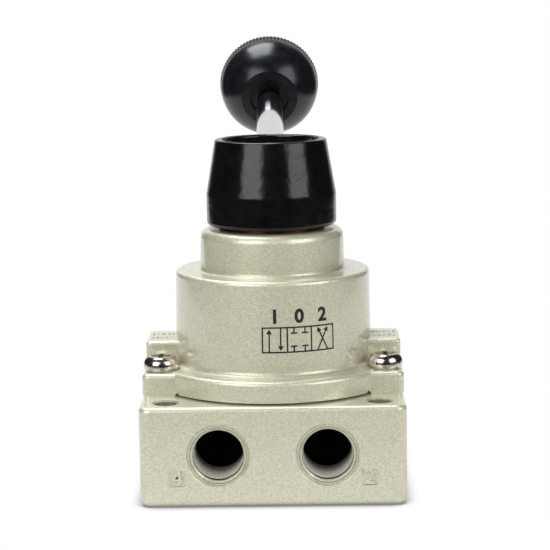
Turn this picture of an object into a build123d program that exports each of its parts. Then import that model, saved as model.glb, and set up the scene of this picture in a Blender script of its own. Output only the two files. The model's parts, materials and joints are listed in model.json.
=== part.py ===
from build123d import *
from math import asin, cos, degrees, radians, sin, sqrt, tan
import os

# Hand lever air valve: a four-port rotary disc valve with three detented lever positions.
# Millimetres. The origin is the centre of the base, +Z is up, ports 2 and 4 open to -Y and
# the lever points to +Y in its middle position. The lever turns about the Z axis.

os.makedirs("parts", exist_ok=True)

# ---- driving dimensions: body casting
body_width = 60.0
body_depth = 60.0
body_height = 22.8
body_corner = 2.5
body_top_round = 1.2
body_foot_round = 1.5
mount_edge = 5.9
mount_hole = 5.4
mount_rim = 0.4

# ---- ports, tapped 1/4 inch taper thread, drawn at the minor diameter
port_pitch = 24.5
port_height = 11.8
port_bore = 11.445
port_spot = 14.1
port_spot_depth = 0.25
port_mouth = 12.9
port_depth = 12.5
port_relief_bore = 9.4
port_relief_depth = 2.5
passage_bore = 5.6
gallery_bore = 5.0
tile_side = 3.6
tile_depth = 0.35
tile_offset = 9.3
tile_drop = 5.2

# ---- bonnet casting
flange_margin = 1.8
flange_width = 5.5
flange_gap = 0.35
flange_round = 1.0
flange_height = 5.2
lug_step = 0.2
lug_corner = 1.6
lug_round = 1.0
foot_relief = 0.6
foot_notch_width = 1.5
foot_notch_height = 1.0
foot_notch_run = 1.5
block_length = 14.1
block_rise = 5.6
block_inset = 0.3
block_round = 0.8
bonnet_wall = 3.5
bonnet_draft = 1.0
bonnet_base_fillet = 1.2
shoulder_width = 6.0
shoulder_round = 1.0
roof_thickness = 5.1
neck_height = 9.6
neck_draft = 1.4
neck_round = 2.0
neck_base_fillet = 0.8
sealing_land = 2.5

# ---- cover screws, M4 pan head with a cross recess
screw_thread = 4.0
screw_hole_clearance = 0.4
screw_head = 8.1
screw_head_height = 3.3
screw_head_flat = 6.0
screw_head_seat = 7.4
screw_head_belly = 1.3
screw_reach = 16.0
screw_edge_x = 4.1
screw_edge_y = 5.6
screw_block_gap = 0.4
spot_margin = 0.25
cross_width = 1.0
cross_span = 4.4
cross_depth = 1.4

# ---- seat plate, seals and rotor disc
fit = 0.05
running = 0.05
seat_wall_gap = 0.2
seat_rim = 1.6
seat_thickness = 4.0
seat_recess = 2.6
seat_seal_width = 1.5
seat_seal_height = 1.2
dowel_diameter = 2.5
dowel_inset = 2.7
dowel_length = 5.2
rotor_rim = 2.35
rotor_thickness = 6.0
kidney_depth = 2.5
cover_ring_width = 1.8
cover_ring_depth = 1.5

# ---- shaft, spring and detent
turn_limit = 45.0
shaft_diameter = 10.0
shaft_lead = 0.5
tongue_width = 4.0
tongue_depth = 3.2
tongue_clearance = 0.3
disc_spring_height = 7.0
disc_spring_wire = 1.4
disc_spring_shaft_gap = 2.1
disc_spring_leaf = 0.7
disc_spring_turns = 3.0
carrier_thickness = 6.8
carrier_gap = 0.5
carrier_pin_diameter = 2.5
carrier_pin_length = 22.0
carrier_pin_rise = 1.8
detent_ring_wall = 3.75
ball_diameter = 5.0
ball_travel = 0.4
ball_ridge_clearance = 0.1
ball_bore_clearance = 0.05
notch_clearance = 0.4
spring_floor = 1.6
spring_ball_gap = 0.15
detent_wire = 0.6
detent_leaf = 0.35
detent_turns = 3.0
thrust_ring_thickness = 0.55
stop_pin_diameter = 2.4
stop_pin_wall = 0.7
stop_pin_seat = 3.0
stop_pin_reach = 2.4
stop_end_gap = 0.15
stop_slot_floor = 0.6
ring_pin_diameter = 2.0
ring_pin_length = 5.0

# ---- shaft bush, seal and washer
bush_wall = 3.0
seal_section = 1.8
seal_drop = 4.0
washer_thickness = 0.8
washer_inset = 4.3

# ---- lever hub
hub_inset = 1.53
hub_height = 19.91
hub_belt = 7.25
hub_taper = 2.17
hub_wall = 2.15
hub_foot_round = 0.9
hub_rim_round = 0.5
hub_belt_round = 4.0
cup_depth = 8.0
hub_floor = 4.1
boss_wall = 1.8
boss_root = 0.5
boss_drop = 2.0
rod_hole_gap = 0.05
set_screw_thread = 5.0
set_screw_sink = 2.7
set_screw_rise = 4.8
set_screw_socket = 2.5
shaft_flat = 1.0

# ---- lever rod and ball knob
rod_diameter = 6.7
rod_rise = 15.0
rod_swing = 1.1
rod_drop = 7.76
rod_thread = 6.0
rod_tail = 3.5
rod_shoulder = 5.5
rod_tip = 10.0
rod_chamfer = 0.5
knob_diameter = 25.5
knob_reach = 64.0
knob_flat = 10.5
knob_recess_radius = 5.0
knob_recess_depth = 1.5
knob_cover = 1.2
insert_length = 12.0

# ---- levels along Z
seat_floor = body_height - seat_recess
seat_top = seat_floor + seat_thickness
rotor_top = seat_top + rotor_thickness
carrier_bottom = rotor_top + disc_spring_height
carrier_top = carrier_bottom + carrier_thickness
cavity_top = carrier_top + running + thrust_ring_thickness
shoulder_top = cavity_top + roof_thickness
neck_top = shoulder_top + neck_height
flange_bottom = body_height + flange_gap
flange_top = body_height + flange_height
lug_top = flange_top - lug_step
washer_top = neck_top + washer_thickness
hub_foot = washer_top + running
hub_top = hub_foot + hub_height
cup_floor = hub_top - cup_depth
shaft_top = cup_floor - hub_floor
rod_height = hub_top - rod_drop
ball_height = carrier_bottom + carrier_thickness / 2

# ---- radii, from the outside in
flange_radius = body_width / 2 - flange_margin
bonnet_radius = flange_radius - flange_width
bonnet_base_radius = bonnet_radius + (shoulder_top - flange_top) * tan(radians(bonnet_draft))
cavity_radius = bonnet_radius - bonnet_wall
sealing_radius = flange_radius - sealing_land
neck_radius = bonnet_radius - shoulder_width
neck_base_radius = neck_radius + neck_height * tan(radians(neck_draft))
seat_radius = cavity_radius - seat_wall_gap
rotor_radius = seat_radius - seat_rim
passage_radius = passage_bore / 2
gallery_bore_radius = gallery_bore / 2
gallery_radius = rotor_radius - rotor_rim - passage_radius
cover_ring_radius = (cavity_radius + sealing_radius - cover_ring_width) / 2
ring_outer = cavity_radius - fit
ring_inner = ring_outer - detent_ring_wall
carrier_radius = ring_inner - carrier_gap
ball_radius = ball_diameter / 2
ball_centre = ring_inner - ball_ridge_clearance - ball_radius
shaft_radius = shaft_diameter / 2
bush_bore = shaft_radius + running
bush_radius = bush_bore + bush_wall
stop_radius = bush_radius + stop_pin_wall + stop_pin_diameter / 2
washer_radius = neck_radius - washer_inset
hub_radius = neck_radius - hub_inset
hub_top_radius = hub_radius - hub_taper
cup_radius = hub_top_radius - hub_wall
rod_radius = rod_diameter / 2
knob_radius = knob_diameter / 2

# ---- places in plan
port_x = port_pitch / 2
port_floor_y = body_depth / 2 - port_depth
mount_x = body_width / 2 - mount_edge
mount_y = body_depth / 2 - mount_edge
screw_x = body_width / 2 - screw_edge_x
screw_y = block_length / 2 + screw_block_gap + screw_head / 2
lug_length = 2 * (screw_y + screw_edge_y)
detent_sides = (0, 180)

# The rod plane looks along the rod: its origin is where the rod crosses the shaft axis. In the
# middle notch the rod rises towards +Y and stands a little to the -X side of it.
rod_run = cos(radians(rod_rise))
rod_direction = (
    -rod_run * sin(radians(rod_swing)),
    rod_run * cos(radians(rod_swing)),
    sin(radians(rod_rise)),
)
rod_across = (-cos(radians(rod_swing)), -sin(radians(rod_swing)), 0)
rod_plane = Plane(origin=(0, 0, rod_height), x_dir=rod_across, z_dir=rod_direction)
knob_floor = knob_reach - knob_flat + knob_recess_depth
insert_face = knob_floor + knob_cover


def corner(profile, x, y):
    """The corner of a profile that lies nearest to x, y."""
    return profile.vertices().sort_by_distance((x, y, 0))[0]


def wound_spring(base, height, radius, wire_width, wire_leaf, turns):
    """A flat-wire coil that stands on a plane, its wire wider across the coil than along it."""
    travel = height - wire_leaf
    start = base.offset(wire_leaf / 2)
    with BuildPart() as spring:
        with BuildLine():
            coil = Helix(
                pitch=travel / turns,
                height=travel,
                radius=radius,
                center=start.origin,
                direction=base.z_dir,
            )
        with BuildSketch(Plane(origin=coil @ 0, x_dir=coil @ 0 - start.origin, z_dir=coil % 0)):
            Rectangle(wire_width, wire_leaf)
        sweep(is_frenet=True)
    return spring


def finish(builder, name):
    """Label a finished piece and write it to its own file."""
    builder.part.label = name
    export_step(builder.part, f"parts/{name}.step")


# ==== valve body: the die-cast block with four ports and the seat recess
with BuildPart() as valve_body:
    with BuildSketch():
        RectangleRounded(body_width, body_depth, body_corner)
    extrude(amount=body_height)
    fillet(valve_body.faces().sort_by(Axis.Z)[-1].edges(), body_top_round)
    fillet(valve_body.faces().sort_by(Axis.Z)[0].edges(), body_foot_round)

    # seat recess and the face groove of the cover seal
    with BuildSketch(Plane.XY.offset(body_height)):
        Circle(seat_radius + fit)
    extrude(amount=-seat_recess, mode=Mode.SUBTRACT)
    with BuildSketch(Plane.XY.offset(body_height)):
        Circle(cover_ring_radius + cover_ring_width)
        Circle(cover_ring_radius, mode=Mode.SUBTRACT)
    extrude(amount=-cover_ring_depth, mode=Mode.SUBTRACT)

    # mounting holes, right through, with eased rims
    for level, direction in ((body_height, -1), (0, 1)):
        for x in (-mount_x, mount_x):
            for y in (-mount_y, mount_y):
                with BuildSketch(Plane.XY.offset(level)):
                    with Locations((x, y)):
                        Circle(mount_hole / 2 + mount_rim)
                extrude(amount=direction * mount_rim, taper=45, mode=Mode.SUBTRACT)
    with BuildSketch():
        with GridLocations(2 * mount_x, 2 * mount_y, 2, 2):
            Circle(mount_hole / 2)
    extrude(amount=body_height, mode=Mode.SUBTRACT)

    # tapped holes for the cover screws
    with BuildSketch(Plane.XY.offset(body_height)):
        with GridLocations(2 * screw_x, 2 * screw_y, 2, 2):
            Circle(screw_thread / 2)
    extrude(amount=-(screw_reach - flange_height + lug_step), mode=Mode.SUBTRACT)

    # ports: spot face, bevelled mouth, tapped bore and drill relief, two in front, two behind
    mouth_depth = (port_mouth - port_bore) / 2
    port_places = ((-port_x, 0), (port_x, 0))
    for side in (-1, 1):
        face = Plane(
            origin=(0, side * body_depth / 2, port_height),
            x_dir=(1, 0, 0),
            z_dir=(0, side, 0),
        )
        with BuildSketch(face):
            with Locations(*port_places):
                Circle(port_spot / 2)
        extrude(amount=-port_spot_depth, mode=Mode.SUBTRACT)
        with BuildSketch(face.offset(-port_spot_depth)):
            with Locations(*port_places):
                Circle(port_mouth / 2)
        extrude(amount=-mouth_depth, taper=45, mode=Mode.SUBTRACT)
        with BuildSketch(face):
            with Locations(*port_places):
                Circle(port_bore / 2)
        extrude(amount=-port_depth, mode=Mode.SUBTRACT)
        with BuildSketch(face.offset(-port_depth)):
            with Locations(*port_places):
                Circle(port_relief_bore / 2)
        extrude(amount=-port_relief_depth, mode=Mode.SUBTRACT)

        # shallow square tile beside each port for its number
        tile_y = -tile_drop if side < 0 else tile_drop
        with BuildSketch(face):
            with Locations((-port_x - tile_offset, tile_y), (port_x + tile_offset, tile_y)):
                Rectangle(tile_side, tile_side)
        extrude(amount=-tile_depth, mode=Mode.SUBTRACT)

    # galleries: each port is drilled through to its own hole under the seat plate, which is
    # wider than the gallery and runs down past it
    relief_y = port_floor_y - port_relief_depth
    routes = (
        ((-port_x, -relief_y), (-gallery_radius, 0)),
        ((port_x, -relief_y), (gallery_radius, 0)),
        ((port_x, relief_y), (0, gallery_radius)),
        ((-port_x, relief_y), (0, -gallery_radius)),
    )
    for (start_x, start_y), (end_x, end_y) in routes:
        run = Vector(end_x - start_x, end_y - start_y, 0)
        start = Vector(start_x, start_y, port_height)
        with BuildSketch(Plane(origin=start, z_dir=run.normalized())):
            Circle(gallery_bore_radius)
        extrude(amount=run.length, mode=Mode.SUBTRACT)
        with BuildSketch(Plane.XY.offset(port_height - passage_radius)):
            with Locations((end_x, end_y)):
                Circle(passage_radius)
        extrude(amount=seat_floor - port_height + passage_radius, mode=Mode.SUBTRACT)

    # dowel holes in the recess floor
    dowel_circle = seat_radius - dowel_inset
    dowel_bottom = seat_top - seat_thickness / 2 - dowel_length + fit
    with BuildSketch(Plane.XY.offset(dowel_bottom)):
        with PolarLocations(dowel_circle, 2, start_angle=45):
            Circle(dowel_diameter / 2)
    extrude(amount=seat_floor - dowel_bottom, mode=Mode.SUBTRACT)
finish(valve_body, "valve_body")


# ==== bonnet: lugs and blocks in one slab each, then the turned form, then the bores
with BuildPart() as bonnet:
    foot_x = body_width / 2 - 2 * screw_edge_x
    with BuildSketch(Plane.XZ) as lug_profile:
        with BuildLine():
            Polyline(
                (0, flange_bottom + foot_relief),
                (foot_x, flange_bottom + foot_relief),
                (foot_x, body_height),
                (body_width / 2, body_height),
                (body_width / 2, lug_top),
                (0, lug_top),
                close=True,
            )
        make_face()
        mirror(about=Plane.YZ)
    extrude(amount=lug_length / 2, both=True)
    uprights = bonnet.edges().filter_by(Axis.Z).group_by(Axis.X)
    fillet(uprights[0] + uprights[-1], lug_corner)
    fillet(bonnet.faces().sort_by(Axis.Z)[-1].edges(), lug_round)

    block_x = body_width / 2 - block_inset
    with BuildSketch(Plane.XY.offset(flange_top - lug_round)):
        RectangleRounded(2 * block_x, block_length, lug_round)
    extrude(amount=block_rise + lug_round)
    fillet(bonnet.faces().sort_by(Axis.Z)[-1].edges(), block_round)

    with BuildSketch(Plane.XZ) as bonnet_profile:
        with BuildLine():
            Polyline(
                (0, body_height),
                (sealing_radius, body_height),
                (sealing_radius, flange_bottom),
                (flange_radius, flange_bottom),
                (flange_radius, flange_top),
                (bonnet_base_radius, flange_top),
                (bonnet_radius, shoulder_top),
                (neck_base_radius, shoulder_top),
                (neck_radius, neck_top),
                (0, neck_top),
                close=True,
            )
        make_face()
        fillet(corner(bonnet_profile, flange_radius, flange_top), flange_round)
        fillet(corner(bonnet_profile, flange_radius, flange_bottom), flange_gap / 2)
        fillet(corner(bonnet_profile, bonnet_base_radius, flange_top), bonnet_base_fillet)
        fillet(corner(bonnet_profile, bonnet_radius, shoulder_top), shoulder_round)
        fillet(corner(bonnet_profile, neck_base_radius, shoulder_top), neck_base_fillet)
        fillet(corner(bonnet_profile, neck_radius, neck_top), neck_round)
    revolve(axis=Axis.Z)

    # small triangular notches where the flange meets the foot of each lug
    notch_depth = (body_depth - lug_length) / 2 + foot_notch_run
    for side in (-1, 1):
        with BuildSketch(Plane.XZ.offset(side * body_depth / 2)):
            with BuildLine():
                Polyline(
                    (foot_x + foot_notch_width / 2, body_height),
                    (foot_x, body_height + foot_notch_height),
                    (foot_x - foot_notch_width / 2, body_height),
                    close=True,
                )
            make_face()
            mirror(about=Plane.YZ)
        extrude(amount=-side * notch_depth, mode=Mode.SUBTRACT)

    # chamber for the seat plate, rotor and detent, and the bore of the shaft bush
    with BuildSketch(Plane.XY.offset(body_height)):
        Circle(cavity_radius)
    extrude(amount=cavity_top - body_height, mode=Mode.SUBTRACT)
    with BuildSketch(Plane.XY.offset(body_height)):
        Circle(bush_radius)
    extrude(amount=neck_top - body_height, mode=Mode.SUBTRACT)

    # spot faces and clearance holes for the cover screws
    with BuildSketch(Plane.XY.offset(lug_top)):
        with GridLocations(2 * screw_x, 2 * screw_y, 2, 2):
            Circle(screw_head / 2 + spot_margin)
    extrude(amount=lug_step + bonnet_base_fillet, mode=Mode.SUBTRACT)
    with BuildSketch(Plane.XY.offset(lug_top)):
        with GridLocations(2 * screw_x, 2 * screw_y, 2, 2):
            Circle((screw_thread + screw_hole_clearance) / 2)
    extrude(amount=body_height - lug_top, mode=Mode.SUBTRACT)

    # blind holes in the roof: one for the stop pin, two for the detent ring pins
    with BuildSketch(Plane.XY.offset(cavity_top)):
        with Locations((0, stop_radius)):
            Circle(stop_pin_diameter / 2)
    extrude(amount=stop_pin_seat, mode=Mode.SUBTRACT)
    ring_pin_circle = ring_outer - ring_pin_diameter
    with BuildSketch(Plane.XY.offset(cavity_top)):
        with PolarLocations(ring_pin_circle, 2, start_angle=90):
            Circle(ring_pin_diameter / 2)
    extrude(amount=ring_pin_length / 2, mode=Mode.SUBTRACT)
finish(bonnet, "bonnet")

# ==== cover screws: cold-formed heads, widest at the belly, with a flat top and a cross recess
with BuildPart() as cover_screw:
    with BuildSketch(Plane.XZ):
        with BuildLine():
            belly = (screw_head / 2, screw_head_belly)
            TangentArc(belly, (screw_head_flat / 2, screw_head_height), tangent=(0, 1))
            TangentArc(belly, (screw_head_seat / 2, 0), tangent=(0, -1))
            Polyline(
                (screw_head_flat / 2, screw_head_height),
                (0, screw_head_height),
                (0, -screw_reach),
                (screw_thread / 2, -screw_reach),
                (screw_thread / 2, 0),
                (screw_head_seat / 2, 0),
            )
        make_face()
    revolve(axis=Axis.Z)
    with BuildSketch(Plane.XY.offset(screw_head_height)):
        Rectangle(cross_span, cross_width)
        Rectangle(cross_width, cross_span)
    extrude(amount=-cross_depth, mode=Mode.SUBTRACT)

with BuildPart(Plane.XY.offset(lug_top)) as bonnet_screws:
    with GridLocations(2 * screw_x, 2 * screw_y, 2, 2):
        add(cover_screw.part)
finish(bonnet_screws, "bonnet_screws")

# ==== cover seal: a square ring that fills the face groove of the body
with BuildPart() as cover_seal:
    with BuildSketch(Plane.XY.offset(body_height)):
        Circle(cover_ring_radius + cover_ring_width)
        Circle(cover_ring_radius, mode=Mode.SUBTRACT)
    extrude(amount=-cover_ring_depth)
finish(cover_seal, "cover_seal")

# ==== seat plate: a lapped disc with the four gallery holes
with BuildPart() as seat_plate:
    with BuildSketch(Plane.XY.offset(seat_floor)):
        Circle(seat_radius)
        with PolarLocations(gallery_radius, 4):
            Circle(passage_radius, mode=Mode.SUBTRACT)
    extrude(amount=seat_thickness)
    seat_seal_inner = passage_radius + seat_rim / 2
    with BuildSketch(Plane.XY.offset(seat_floor)):
        with PolarLocations(gallery_radius, 4):
            Circle(seat_seal_inner + seat_seal_width)
            Circle(seat_seal_inner, mode=Mode.SUBTRACT)
    extrude(amount=seat_seal_height, mode=Mode.SUBTRACT)
    with BuildSketch(Plane.XY.offset(seat_floor)):
        with PolarLocations(dowel_circle, 2, start_angle=45):
            Circle(dowel_diameter / 2)
    extrude(amount=seat_thickness / 2, mode=Mode.SUBTRACT)
finish(seat_plate, "seat_plate")

# ==== seat seals: square-section rings under the plate, one round each hole
with BuildPart() as seat_seals:
    with BuildSketch(Plane.XY.offset(seat_floor)):
        with PolarLocations(gallery_radius, 4):
            Circle(seat_seal_inner + seat_seal_width)
            Circle(seat_seal_inner, mode=Mode.SUBTRACT)
    extrude(amount=seat_seal_height)
finish(seat_seals, "seat_seals")

# ==== seat dowels: keep the plate from turning with the rotor
with BuildPart() as seat_dowels:
    with BuildSketch(Plane.XY.offset(dowel_bottom)):
        with PolarLocations(dowel_circle, 2, start_angle=45):
            Circle(dowel_diameter / 2)
    extrude(amount=dowel_length - fit)
finish(seat_dowels, "seat_dowels")

# ==== rotor disc: two kidney pockets below, a drive slot above
with BuildPart() as rotor_disc:
    with BuildSketch(Plane.XY.offset(seat_top)):
        Circle(rotor_radius)
    extrude(amount=rotor_thickness)
    for middle in (90, 270):
        with BuildSketch(Plane.XY.offset(seat_top)):
            SlotArc(
                CenterArc((0, 0), gallery_radius, middle - turn_limit, 2 * turn_limit),
                2 * passage_radius,
            )
        extrude(amount=kidney_depth, mode=Mode.SUBTRACT)
    with BuildSketch(Plane.XY.offset(rotor_top)):
        Rectangle(shaft_diameter + 2 * tongue_clearance, tongue_width + 2 * tongue_clearance)
    extrude(amount=-(tongue_depth + tongue_clearance), mode=Mode.SUBTRACT)
finish(rotor_disc, "rotor_disc")

# ==== disc spring: a flat-wire coil round the shaft that presses the rotor on its seat
disc_spring = wound_spring(
    Plane.XY.offset(rotor_top),
    disc_spring_height,
    shaft_radius + disc_spring_shaft_gap + disc_spring_wire / 2,
    disc_spring_wire,
    disc_spring_leaf,
    disc_spring_turns,
)
finish(disc_spring, "disc_spring")

# ==== shaft: drive tongue below, drilled for the carrier pin, flatted for the set screw
with BuildPart() as shaft:
    with BuildSketch(Plane.XY.offset(rotor_top)):
        Circle(shaft_radius)
    extrude(amount=shaft_top - rotor_top)
    chamfer(shaft.faces().sort_by(Axis.Z)[-1].edges(), shaft_lead)
    with BuildSketch(Plane.XY.offset(rotor_top)):
        Circle(shaft_radius)
        Rectangle(shaft_diameter, tongue_width, mode=Mode.INTERSECT)
    extrude(amount=-tongue_depth)
    pin_height = carrier_bottom + carrier_pin_rise
    with BuildSketch(Plane.XZ.offset(-shaft_radius)):
        with Locations((0, pin_height)):
            Circle(carrier_pin_diameter / 2)
    extrude(amount=shaft_diameter, mode=Mode.SUBTRACT)
    with BuildSketch(Plane.XY.offset(neck_top)):
        with Locations((0, shaft_radius)):
            Rectangle(shaft_diameter, 2 * shaft_flat)
    extrude(amount=shaft_top - neck_top, mode=Mode.SUBTRACT)
finish(shaft, "shaft")

# ==== detent carrier: turns with the shaft and holds a ball and spring on each side
bore_radius = ball_radius + ball_bore_clearance
spring_seat = shaft_radius + spring_floor
with BuildPart() as detent_carrier:
    with BuildSketch(Plane.XY.offset(carrier_bottom)):
        Circle(carrier_radius)
        Circle(shaft_radius, mode=Mode.SUBTRACT)
    extrude(amount=carrier_thickness)
    for turn in detent_sides:
        across = Plane(origin=(0, 0, ball_height), z_dir=(cos(radians(turn)), sin(radians(turn)), 0))
        with BuildSketch(across.offset(spring_seat)):
            Circle(bore_radius)
        extrude(amount=carrier_radius, mode=Mode.SUBTRACT)
    # curved slot that the stop pin runs in, wider than the turn by the pin itself
    stop_half_angle = turn_limit + degrees(asin(stop_end_gap / stop_radius))
    slot_width = stop_pin_diameter + 2 * running
    slot_depth = stop_pin_reach + stop_slot_floor
    with BuildSketch(Plane.XY.offset(carrier_top)):
        SlotArc(
            CenterArc((0, 0), stop_radius, 90 - stop_half_angle, 2 * stop_half_angle),
            slot_width,
        )
    extrude(amount=-slot_depth, mode=Mode.SUBTRACT)
    with BuildSketch(Plane.XZ.offset(-carrier_pin_length / 2)):
        with Locations((0, pin_height)):
            Circle(carrier_pin_diameter / 2)
    extrude(amount=carrier_pin_length, mode=Mode.SUBTRACT)
finish(detent_carrier, "detent_carrier")

# ==== carrier pin: a cross pin through carrier and shaft
with BuildPart() as carrier_pin:
    with BuildSketch(Plane.XZ.offset(-carrier_pin_length / 2)):
        with Locations((0, pin_height)):
            Circle(carrier_pin_diameter / 2)
    extrude(amount=carrier_pin_length)
finish(carrier_pin, "carrier_pin")

# ==== detent ring: three notches for each ball, at the two stops and in the middle
with BuildPart() as detent_ring:
    with BuildSketch(Plane.XY.offset(carrier_bottom)):
        Circle(ring_outer)
        Circle(ring_inner, mode=Mode.SUBTRACT)
    extrude(amount=cavity_top - carrier_bottom)
    notch_radius = ball_radius + notch_clearance
    for turn in detent_sides:
        for notch in (-turn_limit, 0, turn_limit):
            with BuildSketch(Plane.XY.offset(carrier_bottom)):
                with PolarLocations(ball_centre + ball_travel, 1, start_angle=turn + notch):
                    Circle(notch_radius)
            extrude(amount=cavity_top - carrier_bottom, mode=Mode.SUBTRACT)
    with BuildSketch(Plane.XY.offset(cavity_top)):
        with PolarLocations(ring_pin_circle, 2, start_angle=90):
            Circle(ring_pin_diameter / 2)
    extrude(amount=-ring_pin_length / 2, mode=Mode.SUBTRACT)
finish(detent_ring, "detent_ring")

# ==== pins that hold the detent ring to the roof of the bonnet
with BuildPart() as detent_ring_pins:
    with BuildSketch(Plane.XY.offset(cavity_top - ring_pin_length / 2)):
        with PolarLocations(ring_pin_circle, 2, start_angle=90):
            Circle(ring_pin_diameter / 2)
    extrude(amount=ring_pin_length)
finish(detent_ring_pins, "detent_ring_pins")

# ==== stop pin: hangs from the roof into the curved slot of the carrier
with BuildPart() as stop_pin:
    with BuildSketch(Plane.XY.offset(carrier_top - stop_pin_reach)):
        with Locations((0, stop_radius)):
            Circle(stop_pin_diameter / 2)
    extrude(amount=cavity_top + stop_pin_seat - carrier_top + stop_pin_reach)
finish(stop_pin, "stop_pin")

# ==== detent balls and the springs behind them
spring_radius = ball_radius - detent_wire
ball_back = ball_centre - sqrt(ball_radius**2 - spring_radius**2)
for side, turn in zip(("right", "left"), detent_sides):
    outward = (cos(radians(turn)), sin(radians(turn)), 0)
    across = Plane(origin=(0, 0, ball_height), z_dir=outward)
    with BuildPart(across.offset(ball_centre)) as detent_ball:
        Sphere(ball_radius)
    finish(detent_ball, f"detent_ball_{side}")
    detent_spring = wound_spring(
        across.offset(spring_seat),
        ball_back - spring_seat - spring_ball_gap,
        spring_radius,
        detent_wire,
        detent_leaf,
        detent_turns,
    )
    finish(detent_spring, f"detent_spring_{side}")

# ==== thrust ring between the carrier and the roof
with BuildPart() as thrust_ring:
    with BuildSketch(Plane.XY.offset(cavity_top - thrust_ring_thickness)):
        Circle(stop_radius - stop_pin_diameter / 2 - running)
        Circle(bush_bore, mode=Mode.SUBTRACT)
    extrude(amount=thrust_ring_thickness)
finish(thrust_ring, "thrust_ring")

# ==== shaft bush with the groove of the shaft seal
seal_middle = neck_top - seal_drop
groove_radius = bush_bore + seal_section
with BuildPart() as shaft_bush:
    with BuildSketch(Plane.XY.offset(cavity_top)):
        Circle(bush_radius)
        Circle(bush_bore, mode=Mode.SUBTRACT)
    extrude(amount=neck_top - cavity_top)
    with BuildSketch(Plane.XY.offset(seal_middle - seal_section / 2 - fit)):
        Circle(groove_radius)
        Circle(bush_bore, mode=Mode.SUBTRACT)
    extrude(amount=seal_section + 2 * fit, mode=Mode.SUBTRACT)
finish(shaft_bush, "shaft_bush")

# ==== shaft seal: a square ring in that groove
with BuildPart() as shaft_seal:
    with BuildSketch(Plane.XY.offset(seal_middle - seal_section / 2)):
        Circle(groove_radius)
        Circle(bush_bore, mode=Mode.SUBTRACT)
    extrude(amount=seal_section)
finish(shaft_seal, "shaft_seal")

# ==== bronze washer between the neck and the lever hub
with BuildPart() as hub_washer:
    with BuildSketch(Plane.XY.offset(neck_top)):
        Circle(washer_radius)
        Circle(bush_bore, mode=Mode.SUBTRACT)
    extrude(amount=washer_thickness)
finish(hub_washer, "hub_washer")

# ---- sloping boss for the rod, kept inside the cup and below its rim
boss_radius = rod_thread / 2 + boss_wall
with BuildPart() as rod_boss:
    with BuildSketch(rod_plane.offset(rod_shoulder)):
        Circle(boss_radius)
    extrude(amount=-2 * cup_radius)
    with BuildSketch(Plane.XY.offset(cup_floor - boss_root)):
        Circle(cup_radius + boss_root)
    extrude(amount=cup_depth + boss_root - boss_drop, mode=Mode.INTERSECT)

# ==== lever hub: a tapered cup with a belt, keyed to the shaft by its set screw
set_screw_height = hub_foot + set_screw_rise
with BuildPart() as lever_hub:
    with BuildSketch(Plane.XZ) as hub_profile:
        with BuildLine():
            Polyline(
                (0, hub_foot),
                (hub_radius, hub_foot),
                (hub_radius, hub_foot + hub_belt),
                (hub_top_radius, hub_top),
                (cup_radius, hub_top),
                (cup_radius, cup_floor),
                (0, cup_floor),
                close=True,
            )
        make_face()
        fillet(corner(hub_profile, hub_radius, hub_foot), hub_foot_round)
        fillet(corner(hub_profile, hub_radius, hub_foot + hub_belt), hub_belt_round)
        fillet(corner(hub_profile, hub_top_radius, hub_top), hub_rim_round)
        fillet(corner(hub_profile, cup_radius, hub_top), hub_rim_round)
        fillet(corner(hub_profile, cup_radius, cup_floor), hub_rim_round)
    revolve(axis=Axis.Z)

    # hole for the rod: tapped in the boss, and clear from the boss out through the wall
    add(rod_boss.part)
    with BuildSketch(rod_plane.offset(rod_shoulder)):
        Circle(rod_thread / 2)
    extrude(amount=-rod_shoulder - rod_tail, mode=Mode.SUBTRACT)
    with BuildSketch(rod_plane.offset(rod_shoulder)):
        Circle(rod_radius + rod_hole_gap)
    extrude(amount=2 * hub_radius, mode=Mode.SUBTRACT)

    # shaft bore and set screw hole
    with BuildSketch(Plane.XY.offset(neck_top)):
        Circle(shaft_radius)
    extrude(amount=shaft_top - neck_top, mode=Mode.SUBTRACT)
    with BuildSketch(Plane.XZ.offset(-hub_radius)):
        with Locations((0, set_screw_height)):
            Circle(set_screw_thread / 2)
    extrude(amount=hub_radius, mode=Mode.SUBTRACT)
finish(lever_hub, "lever_hub")

# ==== hub set screw, with a hexagon socket, tight on the flat of the shaft
with BuildPart() as hub_set_screw:
    screw_nose = shaft_radius - shaft_flat
    screw_tail = hub_radius - set_screw_sink
    with BuildSketch(Plane.XZ.offset(-screw_nose)):
        with Locations((0, set_screw_height)):
            Circle(set_screw_thread / 2)
    extrude(amount=screw_nose - screw_tail)
    with BuildSketch(Plane.XZ.offset(-screw_tail)):
        with Locations((0, set_screw_height)):
            RegularPolygon(set_screw_socket / 2, 6, major_radius=False)
    extrude(amount=set_screw_socket, mode=Mode.SUBTRACT)
finish(hub_set_screw, "hub_set_screw")

# ==== lever rod: threaded tail in the boss, plain shank, threaded tip in the knob insert
with BuildPart() as lever_rod:
    with BuildSketch(rod_plane.offset(rod_shoulder)):
        Circle(rod_radius)
    extrude(amount=insert_face - rod_shoulder)
    chamfer(lever_rod.edges().filter_by(GeomType.CIRCLE), rod_chamfer)
    with BuildSketch(rod_plane.offset(-rod_tail + rod_chamfer)):
        Circle(rod_thread / 2)
    extrude(amount=insert_face + rod_tail + rod_tip - rod_chamfer)
finish(lever_rod, "lever_rod")

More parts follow.
